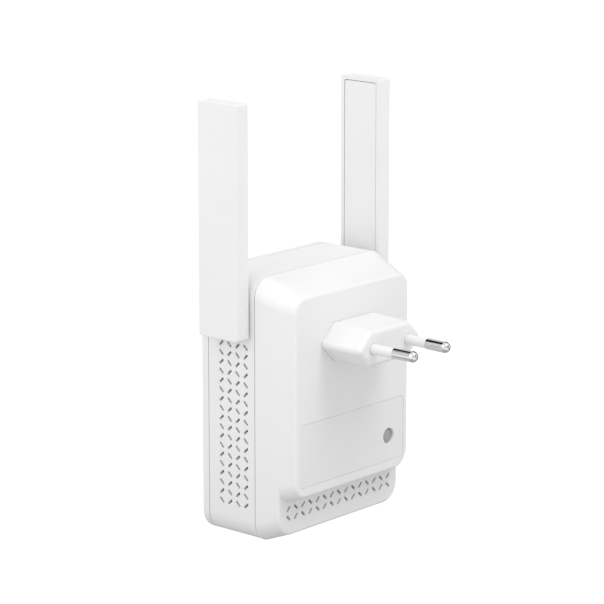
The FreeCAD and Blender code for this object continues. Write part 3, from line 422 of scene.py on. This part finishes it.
class EXTENDER_OT_back_details(Operator):
    """Finish the blank label, the reset button with its switch, and the front light"""

    bl_idname = "extender.back_details"
    bl_label = "Label, button and light"

    def execute(self, context):
        look = context.scene.extender_plastic
        film = Finish("label_film")
        fibres = film.noise(size=0.0006, detail=4.0)
        film.tint(fibres, shaded(look.label_tone, 0.985), look.label_tone)
        film.rough(film.noise(size=0.004, detail=2.0), low=0.50, high=0.60)
        film.relief(fibres, depth=0.000004)
        dress(film, "rating_label")

        button = moulded("button_grey", look.button_tone, roughness=0.5, grain=0.0003,
                         depth=0.000008, cloud=0.05)
        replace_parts(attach(reset_cap(button), "reset_button"), "reset_button")
        switch = moulded("switch_black", tone=(0.03, 0.03, 0.032), roughness=0.45,
                         grain=0.0003, depth=0.00001)
        dress(switch, "reset_switch", "switch_plunger")

        pipe = Finish("light_pipe_clear")
        pipe.tint(pipe.noise(size=0.003), dark=(0.86, 0.88, 0.89), light=(0.92, 0.93, 0.94))
        pipe.rough(pipe.noise(size=0.0012, detail=3.0), low=0.14, high=0.24)
        pipe.relief(pipe.specks(size=0.0004), depth=0.00001)
        pipe.fixed(Transmission_Weight=0.55, IOR=CLEAR_IOR)
        dress(pipe, "light_pipe")
        lens = Finish("lamp_lens")
        lens.tint(lens.noise(size=0.0006), dark=(0.80, 0.82, 0.76), light=(0.90, 0.90, 0.84))
        lens.rough(lens.noise(size=0.0008), low=0.2, high=0.35)
        dress(lens, "status_led")
        return {"FINISHED"}


def resist(name, green):
    """Solder resist over tracks, with a faint glass weave under it."""
    finish = Finish(name)
    tracks = finish.specks(TRACK_SIZE, finish.stretched(1.0, 1.0, TRACK_SQUEEZE))
    weave = finish.joined(finish.bands(WEAVE_PITCH, "X"), finish.bands(WEAVE_PITCH, "Z"),
                          share=1.0)
    finish.tint(tracks, shaded(green, TRACK_SHADE), green, start=0.28, end=0.34)
    finish.rough(weave, low=0.28, high=0.40)
    finish.relief(finish.joined(tracks, weave, share=0.1), depth=0.00002)
    return finish


def resin(name, tone, grain=0.0003):
    """Dark transfer-moulded resin with a fine matt texture."""
    return moulded(name, tone, roughness=0.5, grain=grain, depth=0.00001, cloud=0.1)


class EXTENDER_OT_mains_parts(Operator):
    """Finish the mains board and the parts that stand on it"""

    bl_idname = "extender.mains_parts"
    bl_label = "Mains board"

    def execute(self, context):
        board = resist("mains_board_green", (0.05, 0.26, 0.11))
        dress(board, "power_board")

        film = moulded("insulating_film", tone=(0.78, 0.76, 0.66), roughness=0.4,
                       grain=0.0008, depth=0.00001, cloud=0.05)
        dress(film, "insulation_sheet")

        core = Finish("ferrite_core")
        grit = core.specks(size=0.0004)
        core.tint(grit, dark=(0.045, 0.045, 0.05), light=(0.09, 0.09, 0.095))
        core.rough(grit, low=0.55, high=0.75)
        core.relief(grit, depth=0.00003)
        dress(core, "transformer_core", "mains_choke", "inductors")

        winding = Finish("winding_copper")
        turns_with_groove_shade = winding.bands(pitch=0.0004, axis="Z", wobble=0.4)
        # the copper runs darker towards the grooves between the turns, on the low side of the
        # same bands as the relief: painted shade in the grooves
        winding.tint(turns_with_groove_shade, dark=(0.35, 0.13, 0.05), light=(0.78, 0.38, 0.18))
        winding.rough(turns_with_groove_shade, low=0.25, high=0.4)
        winding.relief(turns_with_groove_shade, depth=0.00012)
        winding.fixed(Metallic=0.85)
        dress(winding, "transformer_winding")
        dress(resin("bobbin_black", (0.03, 0.03, 0.03)), "transformer_bobbin")

        can = Finish("capacitor_sleeve")
        ribs = can.bands(pitch=0.004, axis="X")
        can.tint(ribs, dark=(0.03, 0.04, 0.08), light=(0.07, 0.09, 0.16), start=0.85, end=0.95)
        can.rough(can.noise(size=0.002), low=0.25, high=0.38)
        can.relief(can.noise(size=0.0012), depth=0.00003)
        dress(can, "bulk_capacitors", "output_capacitors")

        box = moulded("film_capacitor_yellow", tone=(0.70, 0.56, 0.09), roughness=0.35,
                      grain=0.0005, depth=0.00001, cloud=0.06)
        dress(box, "safety_capacitor")

        body = Finish("resistor_ceramic")
        rings = body.bands(pitch=0.0022, axis="X")
        body.tint(rings, dark=(0.16, 0.08, 0.04), light=(0.52, 0.40, 0.28), start=0.10, end=0.2)
        body.rough(body.noise(size=0.001), low=0.4, high=0.6)
        body.relief(body.specks(size=0.0003), depth=0.00001)
        dress(body, "fuse_resistor")
        dress(resin("power_chip_black", (0.025, 0.025, 0.028)), "bridge_rectifier",
              "power_controller")
        return {"FINISHED"}


class EXTENDER_OT_radio_parts(Operator):
    """Finish the main board, its chips, shield, heat sink and aerial boards"""

    bl_idname = "extender.radio_parts"
    bl_label = "Radio board"

    def execute(self, context):
        dress(resist("main_board_green", (0.035, 0.22, 0.10)), "main_board")
        dress(resist("aerial_board_green", (0.06, 0.28, 0.13)), *both("antenna_element"))
        dress(resin("radio_chip_black", (0.02, 0.02, 0.023), grain=0.00022), "radio_chip",
              "flash_chip", "memory_chip", "board_link_socket")

        tin = metal("tinned_steel", tone=(0.70, 0.70, 0.71), roughness=0.3, grain=0.0006,
                    depth=0.000006)
        dress(tin, "radio_shield", "crystal")
        sink = metal("sink_aluminium", tone=(0.72, 0.73, 0.74), roughness=0.38, grain=0.0004,
                     depth=0.00001)
        dress(sink, "heat_sink")
        gold = metal("gold_pin", tone=(0.83, 0.62, 0.25), roughness=0.2, grain=0.0004,
                     depth=0.000003)
        dress(gold, "board_link_pins", "coax_plugs")

        pad = Finish("thermal_pad_grey")
        gel = pad.noise(size=0.0008, detail=4.0)
        pad.tint(gel, dark=(0.26, 0.31, 0.36), light=(0.36, 0.42, 0.47))
        pad.rough(gel, low=0.6, high=0.8)
        pad.relief(gel, depth=0.00006)
        dress(pad, "thermal_pad")
        return {"FINISHED"}


class EXTENDER_OT_leads_and_fixings(Operator):
    """Finish the aerial leads, screws, hinge washers and clips"""

    bl_idname = "extender.leads_and_fixings"
    bl_label = "Leads and fixings"

    def execute(self, context):
        metals = context.scene.extender_metal
        jacket = Finish("lead_jacket")
        skin = jacket.noise(size=0.0005, detail=3.0)
        jacket.tint(skin, dark=(0.03, 0.03, 0.032), light=(0.055, 0.055, 0.058))
        jacket.rough(skin, low=0.32, high=0.46)
        jacket.relief(skin, depth=0.00001)
        dress(jacket, *both("antenna_coax", "board_coax"))
        steel = metal("fixing_steel", metals.steel, roughness=0.3, grain=0.0003,
                      depth=0.000006)
        dress(steel, "power_board_screws", "main_board_screws",
              *both("hinge_washer", "hinge_clip"))
        return {"FINISHED"}


# --- stage --------------------------------------------------------------------------------


def towards(bearing, elevation):
    """The unit vector from the object to a place at this bearing and elevation."""
    level = math.cos(elevation)
    return Vector((math.sin(bearing) * level, -math.cos(bearing) * level,
                   math.sin(elevation)))


def aim(thing, spot, target):
    """Puts a thing at a spot, with its own -Z towards the target."""
    thing.location = spot
    thing.rotation_euler = (target - spot).to_track_quat("-Z", "Y").to_euler()


def plane(name, width, height, finish):
    """A flat rectangle about its own middle, facing its own +Z."""
    x, y = width / 2, height / 2
    mesh = bpy.data.meshes.new(name)
    mesh.from_pydata([(-x, -y, 0), (x, -y, 0), (x, y, 0), (-x, y, 0)], [], [(0, 1, 2, 3)])
    mesh.materials.append(finish.material)
    made = bpy.data.objects.new(name, mesh)
    bpy.context.scene.collection.objects.link(made)
    return made


def soft_sun(name, bearing, elevation, strength, softness):
    """A wide distant light; its angles are in degrees."""
    light = bpy.data.lights.new(name, "SUN")
    light.energy = strength
    light.angle = math.radians(softness)
    made = bpy.data.objects.new(name, light)
    bpy.context.scene.collection.objects.link(made)
    spot = towards(math.radians(bearing), math.radians(elevation)) * SUN_REACH
    aim(made, spot, Vector())
    return made


def flag(name, finish, bearing, elevation, reach, width, height):
    """A card that only shows in glossy reflections; its angles are in degrees."""
    card = plane(name, width, height, finish)
    spot = towards(math.radians(bearing), math.radians(elevation)) * reach
    aim(card, spot, Vector())
    card.visible_camera = False
    card.visible_diffuse = False
    card.visible_shadow = False
    card.visible_transmission = False


def matt_card(name, grey):
    """The finish of a studio card, with no gloss of its own."""
    finish = Finish(name)
    finish.fixed(Roughness=1.0, Specular_IOR_Level=0.0)
    finish.shader.inputs["Base Color"].default_value = (grey, grey, grey, 1)
    return finish


def white_room(sky):
    """An even room: white to the camera, and as bright as the sky for everything else."""
    world = bpy.data.worlds.new("white_room")
    world.use_nodes = True
    air = world.node_tree.nodes["Background"]
    air.inputs["Color"].default_value = (1, 1, 1, 1)
    seen = world.node_tree.nodes.new("ShaderNodeLightPath")
    glow = world.node_tree.nodes.new("ShaderNodeMapRange")
    glow.inputs["To Min"].default_value = sky
    glow.inputs["To Max"].default_value = 1.0
    world.node_tree.links.new(seen.outputs["Is Camera Ray"], glow.inputs["Value"])
    world.node_tree.links.new(glow.outputs["Result"], air.inputs["Strength"])
    return world


class EXTENDER_OT_stage(Operator):
    """Lay the pale floor, light it softly and place the camera"""

    bl_idname = "extender.stage"
    bl_label = "Floor, light and camera"

    def execute(self, context):
        stage = context.scene.extender_stage
        scene = context.scene
        scene.view_settings.view_transform = "Standard"

        paper = Finish("floor_paper")
        paper.tint(paper.noise(size=0.4), dark=(0.93, 0.93, 0.93), light=(0.95, 0.95, 0.95))
        paper.fixed(Roughness=0.9, Specular_IOR_Level=0.1)
        floor = plane("floor", stage.floor_width, stage.floor_width, paper)
        floor.location.z = -stage.floor_drop

        scene.world = white_room(stage.sky)

        soft_sun("key_light", bearing=188, elevation=62, strength=stage.key, softness=30)
        soft_sun("fill_light", bearing=85, elevation=30, strength=stage.fill, softness=60)
        card = matt_card("flag_black", CARD_BLACK)
        flag("flag_above", card, bearing=0, elevation=50, reach=1.6, width=1.6, height=0.34)
        flag("flag_far", card, bearing=290, elevation=25, reach=1.6, width=0.9, height=1.5)
        flag("flag_tip", card, bearing=240, elevation=-30, reach=0.5, width=0.30, height=0.30)
        flag("flag_socket", card, bearing=198, elevation=6, reach=0.6, width=0.17, height=0.55)
        flag("flag_side", card, bearing=262, elevation=-12, reach=0.55, width=0.30, height=0.6)
        # a grey card below, which also keeps light off the undersides
        under = plane("flag_under", 0.42, 0.36, matt_card("flag_grey", CARD_GREY))
        under.location = CARD_SPOT
        under.visible_camera = False
        under.visible_shadow = False

        lens = bpy.data.cameras.new("camera")
        lens.lens = stage.lens
        lens.clip_end = stage.floor_width * 2
        camera = bpy.data.objects.new("camera", lens)
        scene.collection.objects.link(camera)
        target = Vector(stage.target)
        aim(camera, target + towards(stage.bearing, stage.elevation) * stage.distance, target)
        scene.camera = camera
        return {"FINISHED"}


STEPS = (
    EXTENDER_OT_housing,
    EXTENDER_OT_antennas,
    EXTENDER_OT_plug,
    EXTENDER_OT_back_details,
    EXTENDER_OT_mains_parts,
    EXTENDER_OT_radio_parts,
    EXTENDER_OT_leads_and_fixings,
    EXTENDER_OT_stage,
)


class EXTENDER_PT_sidebar(Panel):
    """Lists the settings and the steps"""

    bl_idname = "EXTENDER_PT_sidebar"
    bl_label = "Range extender"
    bl_space_type = "VIEW_3D"
    bl_region_type = "UI"
    bl_category = "Extender"

    def draw(self, context):
        for group in ("extender_plastic", "extender_metal", "extender_stage"):
            settings = getattr(context.scene, group)
            column = self.layout.column()
            for field in settings.__annotations__:
                column.prop(settings, field)
        for step in STEPS:
            self.layout.operator(step.bl_idname)


CLASSES = (PlasticSettings, MetalSettings, StageSettings, *STEPS, EXTENDER_PT_sidebar)


def register():
    for made in CLASSES:
        bpy.utils.register_class(made)
    bpy.types.Scene.extender_plastic = PointerProperty(type=PlasticSettings)
    bpy.types.Scene.extender_metal = PointerProperty(type=MetalSettings)
    bpy.types.Scene.extender_stage = PointerProperty(type=StageSettings)


def unregister():
    del bpy.types.Scene.extender_stage
    del bpy.types.Scene.extender_metal
    del bpy.types.Scene.extender_plastic
    for made in reversed(CLASSES):
        bpy.utils.unregister_class(made)


def main():
    """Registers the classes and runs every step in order."""
    register()
    for step in STEPS:
        group, _, name = step.bl_idname.partition(".")
        getattr(getattr(bpy.ops, group), name)()


if __name__ == "__main__":
    main()
